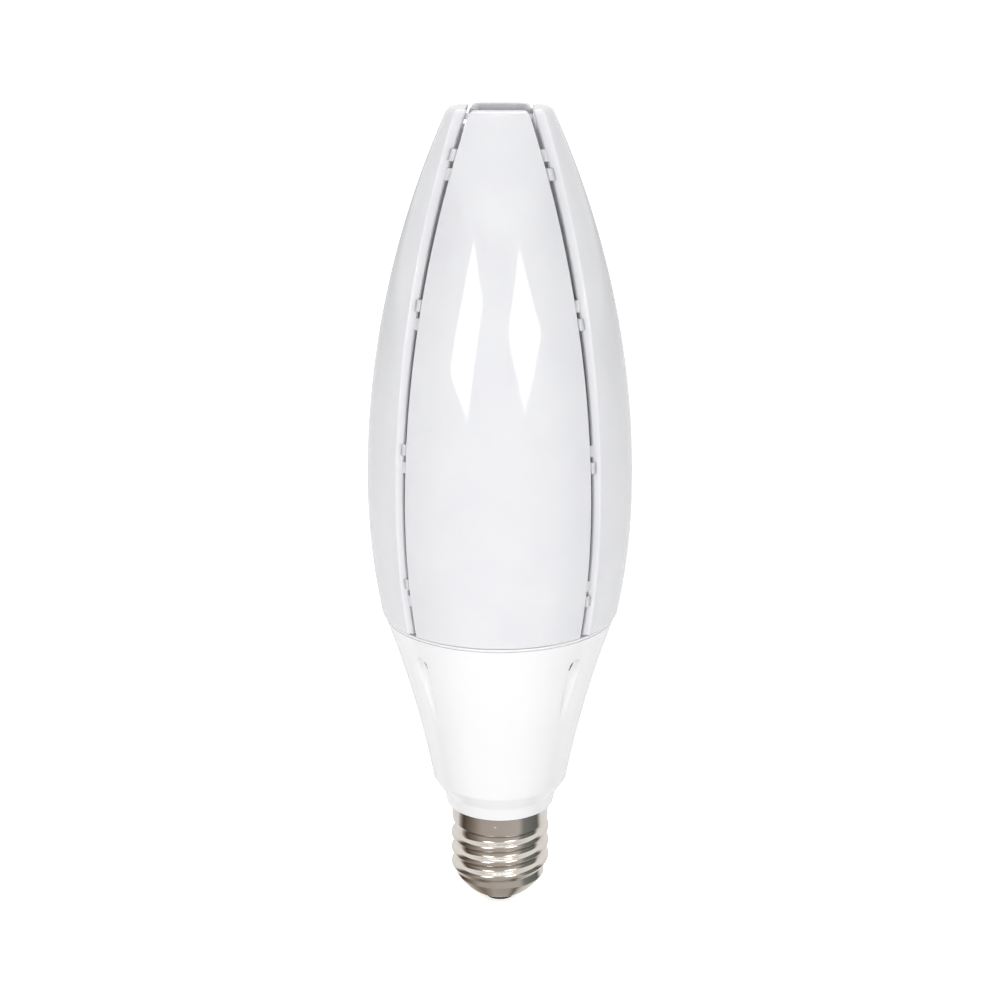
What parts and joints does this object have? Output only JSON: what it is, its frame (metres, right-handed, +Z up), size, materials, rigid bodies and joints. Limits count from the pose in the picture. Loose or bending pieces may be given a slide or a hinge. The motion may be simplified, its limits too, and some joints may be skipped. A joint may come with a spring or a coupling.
{
  "type": "led light bulb",
  "caption": "Olive-shaped LED lamp: milky diffuser leaves with narrow air slots over a flared white driver housing, on an E40 screw cap with a centre contact.",
  "frame": {"origin": "middle of the centre contact's lower face, on the lamp's axis", "axes": "+Z up the lamp's axis, from the screw cap to the open top; the front leaf faces -Y, the right leaf +X"},
  "size_m": [0.1012, 0.1012, 0.317],
  "materials": {
    "contact_brass": "bare stamped brass",
    "black_glass": "moulded, glossy, opaque",
    "nickel": "bright nickel plating on drawn brass",
    "white_plastic": "moulded, glossy",
    "white_matt_plastic": "moulded, matt",
    "screw_steel": "zinc-plated",
    "milky_plastic": "milky diffusing polycarbonate, glossy",
    "board_aluminium": "bare rolled sheet",
    "phosphor": "silicone filled with phosphor",
    "board_laminate": "solder mask",
    "ferrite": "sintered, matt",
    "can_sleeve": "shrunk sleeve",
    "black_package": "moulded epoxy",
    "fuse_glass": "clear",
    "varistor_lacquer": "dipped lacquer",
    "lead_insulation": "extruded insulation"
  },
  "bodies": {
    "root": {"centre_contact": "contact_brass", "cap_insulator": "black_glass", "cap_shell": "nickel", "driver_housing": "white_plastic", "leaf_carrier": "white_matt_plastic", "carrier_screws": "screw_steel", "diffuser_front": "milky_plastic", "diffuser_right": "milky_plastic", "diffuser_back": "milky_plastic", "diffuser_left": "milky_plastic", "led_board_front": "board_aluminium", "led_board_right": "board_aluminium", "led_board_back": "board_aluminium", "led_board_left": "board_aluminium", "led_chips_front": "phosphor", "led_chips_right": "phosphor", "led_chips_back": "phosphor", "led_chips_left": "phosphor", "driver_board": "board_laminate", "transformer": "ferrite", "filter_choke": "ferrite", "bulk_capacitor": "can_sleeve", "output_capacitor": "can_sleeve", "bridge_rectifier": "black_package", "power_switch": "black_package", "fuse": "fuse_glass", "varistor": "varistor_lacquer", "live_lead": "lead_insulation", "neutral_lead": "lead_insulation", "board_leads": "lead_insulation"}
  },
  "joints": []
}
